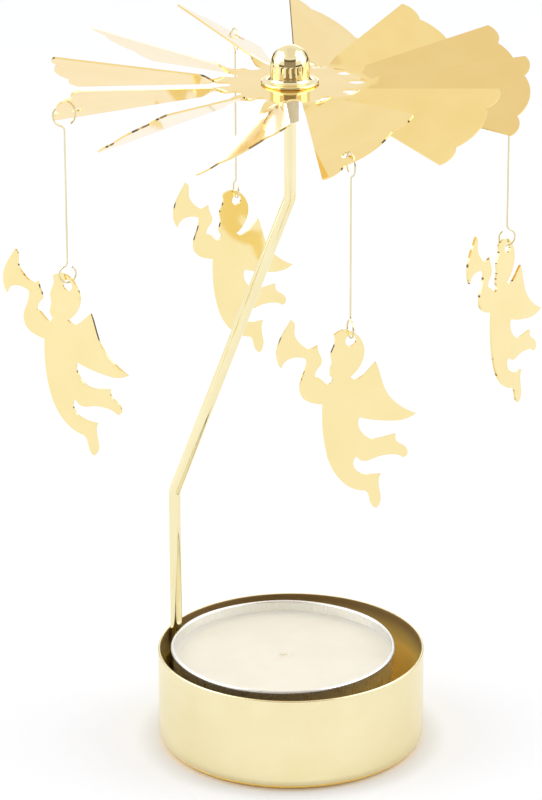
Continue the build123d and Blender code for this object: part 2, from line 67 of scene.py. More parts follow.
def rounded(corners, arc_points=12):
    """A line through corners (x, y, radius), where each inner corner with a radius becomes an arc
    that touches the runs before and after it."""
    corners = np.array(corners, float)
    places = corners[:, :2]
    line = [places[:1]]
    for before, corner, after, radius in zip(places, places[1:], places[2:], corners[1:-1, 2]):
        back = (before - corner) / np.linalg.norm(before - corner)
        ahead = (after - corner) / np.linalg.norm(after - corner)
        half = np.arccos(np.clip(back @ ahead, -1, 1)) / 2
        turn = np.pi - 2 * half
        share = np.linspace(0, 1, arc_points if radius else 1)[:, None]
        centre = corner + (back + ahead) * radius / np.sin(2 * half)
        start = corner + back * radius / np.tan(half) - centre
        end = corner + ahead * radius / np.tan(half) - centre
        swept = (start * np.sin((1 - share) * turn) + end * np.sin(share * turn)) / np.sin(turn)
        line.append(centre + swept)
    return np.vstack([*line, places[-1:]])


def turned(profile, centre=(0.0, 0.0), turns=192):
    """A turned surface: each profile point (radius, height) carried round a vertical axis."""
    angle = np.linspace(0, 2 * np.pi, turns, endpoint=False)
    radius, height = profile.T[:, :, None]
    x = centre[0] + radius * np.cos(angle)
    y = centre[1] + radius * np.sin(angle)
    return np.stack([x, y, height + 0 * angle], axis=-1)


def quads(rows, columns, wrap=False):
    """Corner numbers of the quads of a grid; wrap joins its last column to its first."""
    number = np.arange(rows * columns).reshape(rows, columns)
    if wrap:
        number = np.hstack([number, number[:, :1]])
    corners = [number[:-1, :-1], number[:-1, 1:], number[1:, 1:], number[1:, :-1]]
    return np.stack(corners, axis=-1).reshape(-1, 4)


def put(name, points, faces, material, sharp_degrees=35):
    """A piece at the origin: doubles welded, faces outwards, smooth up to the sharp angle."""
    mesh = bpy.data.meshes.new(name)
    mesh.from_pydata(points.reshape(-1, 3).tolist(), [], faces.tolist())
    welded = bmesh.new()
    welded.from_mesh(mesh)
    bmesh.ops.remove_doubles(welded, verts=welded.verts, dist=0.0005 * MM)
    bmesh.ops.recalc_face_normals(welded, faces=welded.faces)
    welded.to_mesh(mesh)
    welded.free()
    mesh.shade_smooth()
    mesh.set_sharp_from_angle(angle=np.radians(sharp_degrees))
    mesh.materials.append(material)
    piece = bpy.data.objects.new(name, mesh)
    bpy.context.scene.collection.objects.link(piece)
    return piece


def put_turned(name, grid, material):
    """A turned surface as a piece, closed all the way round."""
    return put(name, grid, quads(*grid.shape[:2], wrap=True), material)


def stand_for(piece, node, body):
    """The piece rides on the body in place of the node, which is hidden."""
    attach(piece, body)
    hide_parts(node)


def linear(colour):
    """An sRGB hex colour as linear red, green, blue and alpha."""
    srgb = np.array([int(colour[place : place + 2], 16) for place in (1, 3, 5)]) / 255
    return (*np.where(srgb <= 0.04045, srgb / 12.92, ((srgb + 0.055) / 1.055) ** 2.4), 1.0)


def add_node(tree, kind, inputs, **settings):
    """Adds a node with its settings; an input is a value, or a (node, output) pair to link."""
    node = tree.nodes.new(kind)
    for name, value in settings.items():
        setattr(node, name, value)
    for name, value in inputs.items():
        if isinstance(value, tuple) and isinstance(value[0], bpy.types.Node):
            tree.links.new(value[0].outputs[value[1]], node.inputs[name])
        else:
            node.inputs[name].default_value = value
    return node


def new_material(name):
    """An empty node material, with its tree and its Object coordinates."""
    material = bpy.data.materials.new(name)
    material.use_nodes = True
    tree = material.node_tree
    tree.nodes.clear()
    return material, tree, (tree.nodes.new("ShaderNodeTexCoord"), "Object")


# The Mix node numbers its sockets: these are the two colours and the result.
MIX_A = 6
MIX_B = 7
MIX_RESULT = 2


def plated_gold(name, light, deep, gloss, wave):
    """Gold-tone electroplate on sheet metal. It clouds between two tones over about 7 mm, its
    roughness runs through the gloss range with a 0.6 mm grain, drawn coarser than the real one so
    that it shows, and its face has a slow wave of about 12 mm, wave metres deep."""
    material, tree, place = new_material(name)
    cloud = add_node(tree, "ShaderNodeTexNoise", {"Vector": place, "Scale": 1 / (7 * MM), "Detail": 3.0})
    grain = add_node(tree, "ShaderNodeTexNoise", {"Vector": place, "Scale": 1 / (0.6 * MM), "Detail": 4.0})
    swell = add_node(tree, "ShaderNodeTexNoise", {"Vector": place, "Scale": 1 / (12 * MM), "Detail": 1.0})
    tone = add_node(
        tree,
        "ShaderNodeMix",
        {"Factor": (cloud, "Fac"), MIX_A: linear(light), MIX_B: linear(deep)},
        data_type="RGBA",
    )
    rough = add_node(
        tree, "ShaderNodeMapRange", {"Value": (grain, "Fac"), "To Min": gloss[0], "To Max": gloss[1]}
    )
    bump = add_node(
        tree, "ShaderNodeBump", {"Height": (swell, "Fac"), "Strength": 1.0, "Distance": wave}
    )
    metal = add_node(
        tree,
        "ShaderNodeBsdfPrincipled",
        {
            "Base Color": (tone, MIX_RESULT),
            "Metallic": 1.0,
            "Roughness": (rough, "Result"),
            "Normal": (bump, "Normal"),
        },
    )
    add_node(tree, "ShaderNodeOutputMaterial", {"Surface": (metal, "BSDF")})
    return material


def lined_with_painted_shade(material, radius, rim, brown, gold, roughness):
    """Within a radius of the upright axis, where the plate was not polished, it gets a duller face.
    Its colour there is painted light and shade: a painted brown shade close under the rim, going to a
    painted glow of bright gold farther down, where light bounces between the wall and the candle cup."""
    tree = material.node_tree
    metal = tree.nodes["Principled BSDF"]
    place = (tree.nodes["Texture Coordinate"], "Object")
    level = add_node(tree, "ShaderNodeVectorMath", {0: place, 1: (1, 1, 0)}, operation="MULTIPLY")
    reach = add_node(tree, "ShaderNodeVectorMath", {0: (level, "Vector")}, operation="LENGTH")
    within = add_node(tree, "ShaderNodeMath", {0: (reach, "Value"), 1: radius}, operation="LESS_THAN")
    height = add_node(tree, "ShaderNodeSeparateXYZ", {0: place})
    up = add_node(
        tree,
        "ShaderNodeMapRange",
        {"Value": (height, "Z"), "From Min": rim - CUP_PAINTED_GLOW_DEPTH, "From Max": rim - CUP_PAINTED_SHADE_DEPTH},
    )
    tone = add_node(
        tree,
        "ShaderNodeMix",
        {"Factor": (up, "Result"), MIX_A: linear(gold), MIX_B: linear(brown)},
        data_type="RGBA",
    )
    dull = (roughness, roughness, roughness, 1.0)
    for name, inside in (("Base Color", (tone, MIX_RESULT)), ("Roughness", dull)):
        outside = metal.inputs[name].links[0].from_socket
        both = add_node(tree, "ShaderNodeMix", {"Factor": (within, 0), MIX_B: inside}, data_type="RGBA")
        tree.links.new(outside, both.inputs[MIX_A])
        tree.links.new(both.outputs[MIX_RESULT], metal.inputs[name])


cup_gold_with_painted_shade = plated_gold("satin pale gold plate of the cup with painted shade inside", *PALE_GOLD, SATIN_GLOSS, PRESSED_WAVE)
lo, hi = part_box("base_cup")
cup_radius = (hi.x - lo.x) / 2
cup_inside = cup_radius - CUP_SHEET
# Painted shade inside the cup: brown just under the rim, and a painted glow of bright gold deeper down.
lined_with_painted_shade(cup_gold_with_painted_shade, cup_inside + 0.2 * CUP_SHEET, hi.z, "#9C8458", "#FFE58A", CUP_INSIDE_ROUGHNESS)
cup_profile = rounded(
    [
        (0, lo.z, 0),
        (cup_radius, lo.z, CUP_FOOT_RADIUS),
        (cup_radius, hi.z, CUP_SHEET / 2),
        (cup_inside, hi.z, CUP_SHEET / 2),
        (cup_inside, lo.z + CUP_SHEET, CUP_FOOT_RADIUS - CUP_SHEET),
        (0, lo.z + CUP_SHEET, 0),
    ]
)
cup = put_turned("cup_pressing", turned(cup_profile, turns=256), cup_gold_with_painted_shade)
stand_for(cup, "base_cup", "stand")

# Saddle: a strap of the same plated steel, bent round the foot of the post, with a flange on each
# side that is spot-welded to the cup wall. The candle hides most of it.


def dress(node, material):
    """A piece whose own solid is right keeps it and gets a better material."""
    for slot in frame["nodes"][node].material_slots:
        slot.material = material


satin_gold = plated_gold("satin pale gold plate", *PALE_GOLD, SATIN_GLOSS, PRESSED_WAVE)
dress("post_socket", satin_gold)

# Post: a steel rod, bent twice so that it leans from the cup wall to the middle, and plated with
# the cup. It is brighter than the cup, because the rod was polished first.
POST_LOW_BEND = 41.4 * MM
POST_HIGH_BEND = 95.4 * MM
POST_BEND_RADIUS = 4.0 * MM
POST_RADIUS = 1.0 * MM


def wire(path, radius, centre, across, sides=24):
    """A round wire along a flat path (across, up) from the centre: each ring stands square to the
    path, cos along the path's own side and sin along the plane's normal, with flat ends."""
    run = np.diff(path, axis=0)
    run /= np.linalg.norm(run, axis=1, keepdims=True)
    ahead = np.vstack([run[:1], run[:-1] + run[1:], run[-1:]])
    ahead /= np.linalg.norm(ahead, axis=1, keepdims=True)
    across = np.array([*across, 0.0])
    up = np.array([0.0, 0.0, 1.0])
    normal = np.cross(across, up)
    middle = np.array(centre) + path[:, :1] * across + path[:, 1:] * up
    side = ahead[:, 1:] * across - ahead[:, :1] * up
    angle = np.linspace(0, 2 * np.pi, sides, endpoint=False)[:, None]
    rings = middle[:, None] + radius * (np.cos(angle) * side[:, None] + np.sin(angle) * normal)
    ends = np.repeat(middle[[0, -1], None], sides, axis=1)
    return np.concatenate([ends[:1], rings, ends[1:]])


polished_gold = plated_gold("polished pale gold plate", "#F8EFC6", "#F1E3B0", (0.05, 0.12), 0.002 * MM)
lo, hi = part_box("post")
post_foot = np.array([lo.x + POST_RADIUS, hi.y - POST_RADIUS])
post_reach = np.linalg.norm(post_foot)
post_path = rounded(
    [
        (post_reach, lo.z, 0),
        (post_reach, POST_LOW_BEND, POST_BEND_RADIUS),
        (0, POST_HIGH_BEND, POST_BEND_RADIUS),
        (0, hi.z, 0),
    ],
    arc_points=20,
)
post_grid = wire(post_path, POST_RADIUS, (0, 0, 0), post_foot / post_reach, sides=48)
post = put_turned("post_rod", post_grid, polished_gold)
stand_for(post, "post", "stand")

# Collar: a turned brass sleeve pressed on the end of the post, unplated and a little tarnished.
# Its roof closes round the needle.
COLLAR_WALL = 0.4 * MM
COLLAR_CHAMFER = 0.25 * MM
NEEDLE_RADIUS = 0.5 * MM


def turned_metal(name, light, deep, gloss, ring_pitch):
    """Metal as it comes off the lathe: fine tool rings, ring_pitch metres apart, over slow clouds
    of tarnish between two tones."""
    material, tree, place = new_material(name)
    cloud = add_node(tree, "ShaderNodeTexNoise", {"Vector": place, "Scale": 1 / (1.5 * MM), "Detail": 4.0})
    rings = add_node(
        tree,
        "ShaderNodeTexWave",
        {"Vector": place, "Scale": 1 / (2 * np.pi * ring_pitch), "Distortion": 0.4},
        bands_direction="Z",
    )
    tone = add_node(
        tree,
        "ShaderNodeMix",
        {"Factor": (cloud, "Fac"), MIX_A: linear(light), MIX_B: linear(deep)},
        data_type="RGBA",
    )
    rough = add_node(
        tree, "ShaderNodeMapRange", {"Value": (cloud, "Fac"), "To Min": gloss[0], "To Max": gloss[1]}
    )
    bump = add_node(
        tree, "ShaderNodeBump", {"Height": (rings, "Fac"), "Strength": 0.3, "Distance": 0.01 * MM}
    )
    metal = add_node(
        tree,
        "ShaderNodeBsdfPrincipled",
        {
            "Base Color": (tone, MIX_RESULT),
            "Metallic": 1.0,
            "Roughness": (rough, "Result"),
            "Normal": (bump, "Normal"),
        },
    )
    add_node(tree, "ShaderNodeOutputMaterial", {"Surface": (metal, "BSDF")})
    return material


dull_brass = turned_metal("dull turned brass", "#E2D4B0", "#C6B48A", (0.28, 0.45), 0.25 * MM)
post_top = hi.z
lo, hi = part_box("post_collar")
collar_radius = (hi.x - lo.x) / 2
collar_bore = collar_radius - COLLAR_WALL
collar_profile = rounded(
    [
        (NEEDLE_RADIUS, hi.z, 0),
        (collar_radius - COLLAR_CHAMFER, hi.z, 0),
        (collar_radius, hi.z - COLLAR_CHAMFER, 0),
        (collar_radius, lo.z, 0),
        (collar_bore, lo.z, 0),
        (collar_bore, post_top, 0),
        (NEEDLE_RADIUS, post_top, 0),
        (NEEDLE_RADIUS, hi.z, 0),
    ]
)
collar = put_turned("collar_turning", turned(collar_profile, turns=96), dull_brass)
stand_for(collar, "post_collar", "stand")

# Needle: a hardened steel pin pressed into the top of the post and ground to a point. The whole
# rotor hangs on it inside the hub.
ground_steel = turned_metal("ground needle steel", "#C9CACC", "#A9ABAE", (0.18, 0.30), 0.12 * MM)
dress("pivot_needle", ground_steel)

# Fan wheel: twelve blades stamped from one thin gold-plated sheet. Slits with round ends part them,
# each end has three lobes, and a press has twisted every blade at its neck to catch the warm air.
FAN_SHEET = 0.3 * MM
FAN_HOLE_RADIUS = 2.22 * MM
FAN_DISC_RADIUS = 10.8 * MM
FAN_TIP_RADIUS = 38.6 * MM
FAN_NOTCH_RADIUS = 37.1 * MM
FAN_NOTCH_HALF_WIDTH = 4.4 * MM
FAN_CORNER_RADIUS = 36.7 * MM
FAN_LOBE_RISE = 0.85 * MM
FAN_LOBE_DEPTH = 4.2 * MM
FAN_SLIT = 2.5 * MM
FAN_SLIT_ROOT = 9.3 * MM
FAN_NECK_LENGTH = 3.4 * MM
FAN_TWIST = np.radians(31)
FAN_PHASE = np.radians(18.5)
FAN_HANGING_HOLE = ((34.55 * MM, -3.2 * MM), 0.9 * MM)
BLADES = 12
HUNG_BLADE_STEP = 3
HALF_PITCH = np.pi / BLADES


def blade_half_width(along):
    """Half the width of the flat blade, from its middle line to the slit."""
    return along * np.tan(HALF_PITCH) - FAN_SLIT / 2 / np.cos(HALF_PITCH)


def lobe_reach(share, centre, radius):
    """How far along the blade the line at that share of its half width meets a lobe's circle: the
    farther root of the circle's equation with across = share * blade_half_width(along)."""
    slope = share * np.tan(HALF_PITCH)
    offset = share * FAN_SLIT / 2 / np.cos(HALF_PITCH) + centre[1]
    a = 1 + slope**2
    b = centre[0] + slope * offset
    c = centre[0] ** 2 + offset**2 - radius**2
    return (b + np.sqrt(b**2 - a * c)) / a


def arc_through(start, end, rise):
    """Centre and radius of the arc between two points that rises that far from its chord, on the
    right hand of the way from start to end."""
    chord = end - start
    radius = (chord @ chord / 4 + rise**2) / (2 * rise)
    outward = np.array([chord[1], -chord[0]]) / np.linalg.norm(chord)
    return (start + end) / 2 + outward * (rise - radius), radius


def flat_blade():
    """A twelfth of the flat stamping as a grid of (along, across). Its half width follows the ray
    between two blades on the disc, then the round end of the slit, then the slit. The rows are
    arcs on the disc and straight on the blade, and the last ones close up on the three lobes."""
    half_slit = FAN_SLIT / 2
    disc = np.linspace(FAN_HOLE_RADIUS, FAN_SLIT_ROOT, 8)
    turn = np.linspace(0, np.pi / 2, 14)[1:]
    slit_end = FAN_SLIT_ROOT + half_slit * (1 - np.cos(turn))
    neck = np.linspace(slit_end[-1], FAN_DISC_RADIUS + 1.3 * FAN_NECK_LENGTH, 24)[1:]
    plain = np.linspace(neck[-1], FAN_CORNER_RADIUS - FAN_LOBE_DEPTH, 8)[1:]
    ray = np.concatenate([disc, slit_end, neck, plain])
    gap = np.concatenate([0 * disc, half_slit * np.sin(turn), 0 * neck + half_slit, 0 * plain + half_slit])
    edge_along = (ray * np.cos(HALF_PITCH) + gap * np.sin(HALF_PITCH))[:, None]
    edge_across = (ray * np.sin(HALF_PITCH) - gap * np.cos(HALF_PITCH))[:, None]
    bow = (ray[:, None] - edge_along) * np.clip((slit_end[-1] - ray[:, None]) / half_slit, 0, 1)

    notch = np.array([FAN_NOTCH_RADIUS, FAN_NOTCH_HALF_WIDTH])
    corner = np.array([FAN_CORNER_RADIUS, blade_half_width(FAN_CORNER_RADIUS)])
    notch_share = notch[1] / blade_half_width(notch[0])
    side_share = np.linspace(notch_share, 1, 11)
    middle_share = np.linspace(-notch_share, notch_share, 19)
    side_reach = lobe_reach(side_share, *arc_through(notch, corner, FAN_LOBE_RISE))
    middle_lobe = arc_through(notch * [1, -1], notch, FAN_TIP_RADIUS - FAN_NOTCH_RADIUS)
    middle_reach = lobe_reach(np.abs(middle_share), *middle_lobe)
    share = np.concatenate([-side_share[::-1], middle_share[1:-1], side_share])
    reach = np.concatenate([side_reach[::-1], middle_reach[1:-1], side_reach])

    along = edge_along + bow * (1 - share**2)
    across = edge_across * share
    closing = np.linspace(0, 1, 14)[1:, None]
    lobes_along = along[-1] + closing * (reach - along[-1])
    lobes_across = share * blade_half_width(lobes_along)
    return np.stack([np.vstack([along, lobes_along]), np.vstack([across, lobes_across])], axis=-1)


def pierced(grid, place, radius, margin=1.7):
    """The grid with a round hole at a place (along, across): the cells round it are left out, and
    a ring of quads leads from their border to the circle. Gives points and faces."""
    rows, columns = grid.shape[:2]
    apart = np.abs(grid - place)
    row, column = np.unravel_index(apart.max(axis=-1).argmin(), (rows, columns))
    top, bottom = np.flatnonzero(apart[:, column, 0] < margin * radius)[[0, -1]]
    left, right = np.flatnonzero(apart[row, :, 1] < margin * radius)[[0, -1]]
    number = np.arange(rows * columns).reshape(rows, columns)
    border = np.concatenate(
        [
            number[top, left:right],
            number[top:bottom, right],
            number[bottom, right:left:-1],
            number[bottom:top:-1, left],
        ]
    )
    faces = quads(rows, columns)
    row, column = np.divmod(np.arange(len(faces)), columns - 1)
    inside = (row >= top) & (row < bottom) & (column >= left) & (column < right)
    points = grid.reshape(-1, 2)
    spoke = points[border] - place
    circle = spoke / np.linalg.norm(spoke, axis=1, keepdims=True) * radius
    steps = np.linspace(0, 1, 5)[1:, None, None]
    ring = np.concatenate([points[border][None], place + spoke + steps * (circle - spoke)])
    ring_faces = quads(*ring.shape[:2], wrap=True) + len(points)
    used, faces = np.unique(np.vstack([faces[~inside], ring_faces]), return_inverse=True)
    return np.vstack([points, ring.reshape(-1, 2)])[used], faces.reshape(-1, 4)


def twisted(flat):
    """The flat blade turned about its own middle line: level on the disc, eased through the neck,
    and at the full twist from there out."""
    along, across = flat.T
    share = np.clip((along - FAN_DISC_RADIUS) / FAN_NECK_LENGTH, 0, 1)
    turn = FAN_TWIST * (share - 0.7 * np.sin(2 * np.pi * share) / (2 * np.pi))
    return np.stack([along, across * np.cos(turn), across * np.sin(turn)], axis=-1)


def thick(points, faces, thickness):
    """A sheet with thickness: its welded points moved half the thickness to each side along their
    normals, and a rim of quads on each edge that only one face has."""
    microns = np.round(points / (0.001 * MM))
    _, first, again = np.unique(microns, axis=0, return_index=True, return_inverse=True)
    points = points[first]
    faces = again.reshape(-1)[faces]
    corner = points[faces]
    facing = np.cross(corner[:, 2] - corner[:, 0], corner[:, 3] - corner[:, 1])
    normal = np.zeros_like(points)
    np.add.at(normal, faces, facing[:, None])
    normal *= thickness / 2 / np.linalg.norm(normal, axis=1, keepdims=True)
    edges = np.stack([faces, np.roll(faces, -1, axis=1)], axis=-1).reshape(-1, 2)
    _, place, count = np.unique(np.sort(edges, axis=1), axis=0, return_index=True, return_counts=True)
    start, end = edges[place[count == 1]].T
    under = len(points)
    rim = np.stack([end, start, start + under, end + under], axis=-1)
    return np.vstack([points + normal, points - normal]), np.vstack([faces, faces[:, ::-1] + under, rim])


def about_axis(points, angle):
    """Points turned about the upright axis."""
    spin = np.array([[np.cos(angle), np.sin(angle), 0], [-np.sin(angle), np.cos(angle), 0], [0, 0, 1]])
    return points @ spin


mirror_gold = plated_gold("bright gold plate", "#F8DF9C", "#F2D386", (0.04, 0.09), 0.003 * MM)
lo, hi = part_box("fan_wheel")
fan_height = (lo.z + hi.z) / 2
plain_blade = flat_blade()
blade_forms = {
    False: (plain_blade.reshape(-1, 2), quads(*plain_blade.shape[:2])),
    True: pierced(plain_blade, *FAN_HANGING_HOLE),
}
fan_points = []
fan_faces = []
counted = 0
for blade in range(BLADES):
    flat, faces = blade_forms[blade % HUNG_BLADE_STEP == 0]
    fan_points.append(about_axis(twisted(flat), FAN_PHASE + 2 * HALF_PITCH * blade))
    fan_faces.append(faces + counted)
    counted += len(flat)
fan_points, fan_faces = thick(np.vstack(fan_points), np.vstack(fan_faces), FAN_SHEET)
fan = put("fan_stamping", fan_points + [0, 0, fan_height], fan_faces, mirror_gold)
stand_for(fan, "fan_wheel", "rotor")

# Hub: a domed brass cap turned in one piece with its brim and its neck, and polished to a mirror.
# The neck goes down through the fan and is swaged out under the washer.
DOME_RADIUS = 3.2 * MM
BRIM_THICKNESS = 0.5 * MM
BRIM_FILLET = 0.8 * MM
NECK_RADIUS = 2.2 * MM
HUB_BORE_RADIUS = 1.8 * MM
NECK_LIP_LENGTH = 0.45 * MM
NECK_LIP_REACH = 0.3 * MM
NECK_LIP_EDGE = 0.1 * MM
HUB_ROOF = 1.6 * MM

polished_brass = plated_gold("polished brass", "#F6E8BA", "#EFDCA4", (0.02, 0.05), 0.001 * MM)
lo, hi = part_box("hub_cap")
fan_top = fan_height + FAN_SHEET / 2
brim_top = fan_top + BRIM_THICKNESS
brim_radius = (hi.x - lo.x) / 2
lip_radius = NECK_RADIUS + NECK_LIP_REACH
hub_profile = rounded(
    [
        (0, hi.z - HUB_ROOF, 0),
        (HUB_BORE_RADIUS, hi.z - HUB_ROOF, 0),
        (HUB_BORE_RADIUS, lo.z, 0),
        (lip_radius, lo.z, NECK_LIP_EDGE),
        (lip_radius, lo.z + NECK_LIP_LENGTH, NECK_LIP_EDGE),
        (NECK_RADIUS, lo.z + NECK_LIP_LENGTH, 0),
        (NECK_RADIUS, fan_top, 0),
        (brim_radius, fan_top, BRIM_THICKNESS / 2),
        (brim_radius, brim_top, BRIM_THICKNESS / 2),
        (DOME_RADIUS, brim_top, BRIM_FILLET),
        (DOME_RADIUS, hi.z, DOME_RADIUS),
        (0, hi.z, 0),
    ],
    arc_points=28,
)
hub = put_turned("hub_dome", turned(hub_profile), polished_brass)
stand_for(hub, "hub_cap", "rotor")

# Washer: a punched brass ring between the fan and the swaged lip of the neck. Under the roof of the
# hub, out of sight, a plug with a conical seat rides on the needle.
WASHER_EDGE = 0.12 * MM

lo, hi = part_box("hub_washer")
washer_radius = (hi.x - lo.x) / 2
washer_profile = rounded(
    [
        (FAN_HOLE_RADIUS, lo.z, 0),
        (washer_radius, lo.z, WASHER_EDGE),
        (washer_radius, hi.z, WASHER_EDGE),
        (FAN_HOLE_RADIUS, hi.z, 0),
        (FAN_HOLE_RADIUS, lo.z, 0),
    ]
)
washer = put_turned("hub_washer_ring", turned(washer_profile, turns=128), polished_brass)
stand_for(washer, "hub_washer", "rotor")
dress("pivot_cup", dull_brass)

# Hangers: thin brass wire bent with pliers, with an open hook through the hole near a blade's end,
# an S-bend into a straight drop, and a smaller open eye through the angel's head.
WIRE_RADIUS = 0.15 * MM
WIRE_BEND_RADIUS = 0.9 * MM
HOOK_RADIUS = 1.8502 * MM
EYE_RADIUS = 1.4013 * MM
RING_END = np.radians(235)
SIDES = ("right", "back", "left", "front")


def arc(centre, radius, start, end, count=40):
    """Points round a centre from one angle to another."""
    angle = np.linspace(start, end, count)
    return np.array(centre) + radius * np.stack([np.cos(angle), np.sin(angle)], axis=-1)


def ring_and_tail(radius):
    """An open ring round the origin and the S-bend that leads from its foot to a straight tail
    down, as points from the tail's top to the ring's open end."""
    bend = -np.sqrt(radius**2 + 2 * radius * WIRE_BEND_RADIUS)
    leave = np.arctan2(bend, WIRE_BEND_RADIUS)
    s_bend = arc((WIRE_BEND_RADIUS, bend), WIRE_BEND_RADIUS, np.pi, np.pi + leave, 14)
    return np.vstack([s_bend, arc((0, 0), radius, leave, RING_END, 60)[1:]])


drawn_wire = plated_gold("drawn brass wire", "#F0E6C0", "#D8C894", (0.12, 0.22), 0.001 * MM)
hinges = {joint["name"]: joint for joint in frame["joints"]}
for side in SIDES:
    swing = hinges[f"{side}_hanger_swing"]
    hook_centre = np.array(swing["pos_m"])
    eye_drop = hook_centre[2] - hinges[f"{side}_angel_turn"]["pos_m"][2]
    outward = np.array([-swing["axis"][1], swing["axis"][0]])
    eye = ring_and_tail(EYE_RADIUS) * [1, -1] - [0, eye_drop]
    hanger_path = np.vstack([eye[::-1], ring_and_tail(HOOK_RADIUS)])
    hanger_grid = wire(hanger_path, WIRE_RADIUS, hook_centre, outward, sides=16)
    hanger = put_turned(f"{side}_hanger_wire", hanger_grid, drawn_wire)
    stand_for(hanger, f"hanger_{side}", f"{side}_hanger")

# Angels: flat trumpet-blowing angels stamped from gold-plated sheet, each hung by a hole in its
# head. They are mirror-flat and a little paler than the fan, and take the tone of what they face.
angel_gold = plated_gold("bright pale gold plate", "#F9E8B0", "#F3DE9C", (0.04, 0.09), 0.003 * MM)
for side in SIDES:
    dress(f"angel_{side}", angel_gold)

# Candle cup: the tealight's own cup, drawn from thin aluminium, with a rolled rim that handling has
# dented a little. It stands loose in the base cup, pushed away from the post.
FOIL = 0.2 * MM
FOIL_RIM = 0.6 * MM
FOIL_TAPER = 0.8 * MM
FOIL_FOOT_RADIUS = 1.2 * MM
FOIL_NECK_RADIUS = 0.05 * MM
FOIL_EDGE_RADIUS = 0.15 * MM
FOIL_DENT = 0.22 * MM


def drawn_aluminium():
    """Bright aluminium foil: draw lines run up the wall, about 0.5 mm apart and coarser than the
    real ones so that they show, over small dents about 2 mm wide."""
    material, tree, place = new_material("drawn aluminium foil")
    stretch = add_node(tree, "ShaderNodeMapping", {"Vector": place, "Scale": (1.0, 1.0, 0.15)})
    lines = add_node(
        tree, "ShaderNodeTexNoise", {"Vector": (stretch, "Vector"), "Scale": 1 / (0.5 * MM), "Detail": 3.0}
    )
    dents = add_node(tree, "ShaderNodeTexNoise", {"Vector": place, "Scale": 1 / (2 * MM), "Detail": 2.0})
    rough = add_node(
        tree, "ShaderNodeMapRange", {"Value": (lines, "Fac"), "To Min": 0.18, "To Max": 0.42}
    )
    tone = add_node(
        tree,
        "ShaderNodeMix",
        {"Factor": (lines, "Fac"), MIX_A: linear("#F7F7F5"), MIX_B: linear("#E6E6E4")},
        data_type="RGBA",
    )
    fine = add_node(
        tree, "ShaderNodeBump", {"Height": (lines, "Fac"), "Strength": 0.4, "Distance": 0.02 * MM}
    )
    bump = add_node(
        tree,
        "ShaderNodeBump",
        {"Height": (dents, "Fac"), "Strength": 0.5, "Distance": 0.06 * MM, "Normal": (fine, "Normal")},
    )
    foil = add_node(
        tree,
        "ShaderNodeBsdfPrincipled",
        {
            "Base Color": (tone, MIX_RESULT),
            "Metallic": 1.0,
            "Roughness": (rough, "Result"),
            "Normal": (bump, "Normal"),
        },
    )
    add_node(tree, "ShaderNodeOutputMaterial", {"Surface": (foil, "BSDF")})
    return material


def dented(grid, centre, depth):
    """The turned cup with its upper wall pushed in here and there: each point moves towards the
    axis by a smooth wave of its angle that grows with its height."""
    spoke = grid[..., :2] - centre
    angle = np.arctan2(spoke[..., 1], spoke[..., 0])
    wave = 0.5 + 0.25 * np.cos(3 * angle + 0.6) + 0.25 * np.cos(7 * angle - 1.1)
    height = (grid[..., 2] - grid[..., 2].min()) / np.ptp(grid[..., 2])
    push = depth * wave * height**3 / np.maximum(np.linalg.norm(spoke, axis=-1), MM)
    return np.concatenate([centre + spoke * (1 - push[..., None]), grid[..., 2:]], axis=-1)


lo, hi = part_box("tealight_cup")
candle = np.array([(lo.x + hi.x) / 2, (lo.y + hi.y) / 2])
foil_rim_radius = (hi.x - lo.x) / 2
foil_base_radius = foil_rim_radius - FOIL_TAPER
foil_mouth = foil_rim_radius - FOIL_RIM
foil_profile = rounded(
    [
        (0, lo.z, 0),
        (foil_base_radius, lo.z, FOIL_FOOT_RADIUS),
        (foil_mouth + FOIL, hi.z - FOIL_RIM, FOIL_NECK_RADIUS),
        (foil_rim_radius, hi.z - FOIL_RIM, FOIL_EDGE_RADIUS),
        (foil_rim_radius, hi.z, FOIL_RIM / 2),
        (foil_mouth, hi.z, FOIL_RIM / 2),
        (foil_base_radius - FOIL, lo.z + FOIL, FOIL_FOOT_RADIUS - FOIL),
        (0, lo.z + FOIL, 0),
    ]
)
foil_grid = dented(turned(foil_profile, candle, turns=256), candle, FOIL_DENT)
foil_cup = put_turned("candle_foil_cup", foil_grid, drawn_aluminium())
stand_for(foil_cup, "tealight_cup", "tealight")

# Wick tab: a tinned steel disc on the floor of the candle cup, with a neck crimped round the wick.
# The wax hides it.
dress("wick_sustainer", turned_metal("tinned steel", "#CFCFCB", "#B4B5B3", (0.25, 0.40), 0.2 * MM))

# Wick: a round braid of cotton, dipped in wax. It is crimped in the tab and cut short, so that it
# only just shows over the wax.
BRAID_PITCH = 1.2 * MM
BRAID_STRANDS = 6
BRAID_DEPTH = 0.12
BRAID_SIDES = 48


def waxed_cotton():
    """Cotton soaked in paraffin: cream threads about 0.15 mm thick, darker where the wax is thin."""
    material, tree, place = new_material("waxed braided cotton")
    thread = add_node(
        tree, "ShaderNodeTexNoise", {"Vector": place, "Scale": 1 / (0.15 * MM), "Detail": 3.0}
    )
    tone = add_node(
        tree,
        "ShaderNodeMix",
        {"Factor": (thread, "Fac"), MIX_A: linear("#F8F2E2"), MIX_B: linear("#EADFC4")},
        data_type="RGBA",
    )
    bump = add_node(
        tree, "ShaderNodeBump", {"Height": (thread, "Fac"), "Strength": 0.6, "Distance": 0.05 * MM}
    )
    cotton = add_node(
        tree,
        "ShaderNodeBsdfPrincipled",
        {"Base Color": (tone, MIX_RESULT), "Roughness": 0.6, "IOR": 1.45, "Normal": (bump, "Normal")},
    )
    add_node(tree, "ShaderNodeOutputMaterial", {"Surface": (cotton, "BSDF")})
    return material


